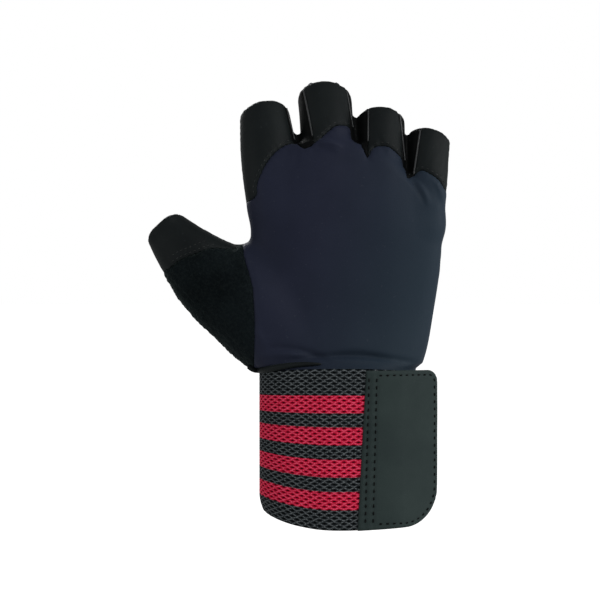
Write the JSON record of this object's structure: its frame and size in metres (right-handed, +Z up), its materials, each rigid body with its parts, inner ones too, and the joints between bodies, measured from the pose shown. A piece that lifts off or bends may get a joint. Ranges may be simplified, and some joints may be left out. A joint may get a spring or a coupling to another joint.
{
  "type": "weightlifting glove",
  "caption": "Right-hand fingerless glove with a padded palm, open fingertips, a towelling thumb panel and a wide elastic wrist wrap closed by a tab.",
  "frame": {"origin": "middle of the wrist opening, level with the wrap's lower edge", "axes": "+Z up to the fingers, +Y out of the palm, -Y out of the back of the hand, -X to the thumb"},
  "size_m": [0.1445, 0.0726, 0.2144],
  "materials": {
    "navy_jersey": "matte navy stretch jersey",
    "black_jersey": "matte black stretch jersey",
    "towelling": "short looped pile",
    "palm_suede": "matte microfibre suede",
    "gusset_knit": "matte black knit",
    "grip_print": "honeycomb of glossy rubber on padded cloth",
    "elastic_webbing": "coarse elastic weave with crimson stripes",
    "tab_suede": "matte dark grey microfibre, stitched",
    "hook_tape": "rough hook tape"
  },
  "bodies": {
    "root": {"back_panel": "navy_jersey", "index_back": "black_jersey", "middle_back": "black_jersey", "ring_back": "black_jersey", "little_back": "black_jersey", "thumb_tip": "black_jersey", "thumb_wipe": "towelling", "palm_panel": "palm_suede", "gusset_index_middle": "gusset_knit", "gusset_middle_ring": "gusset_knit", "gusset_ring_little": "gusset_knit", "knuckle_pad": "grip_print", "thumb_pad": "grip_print", "heel_pad": "grip_print", "wrist_band": "elastic_webbing", "closure_tab": "tab_suede", "hook_patch": "hook_tape"}
  },
  "joints": []
}
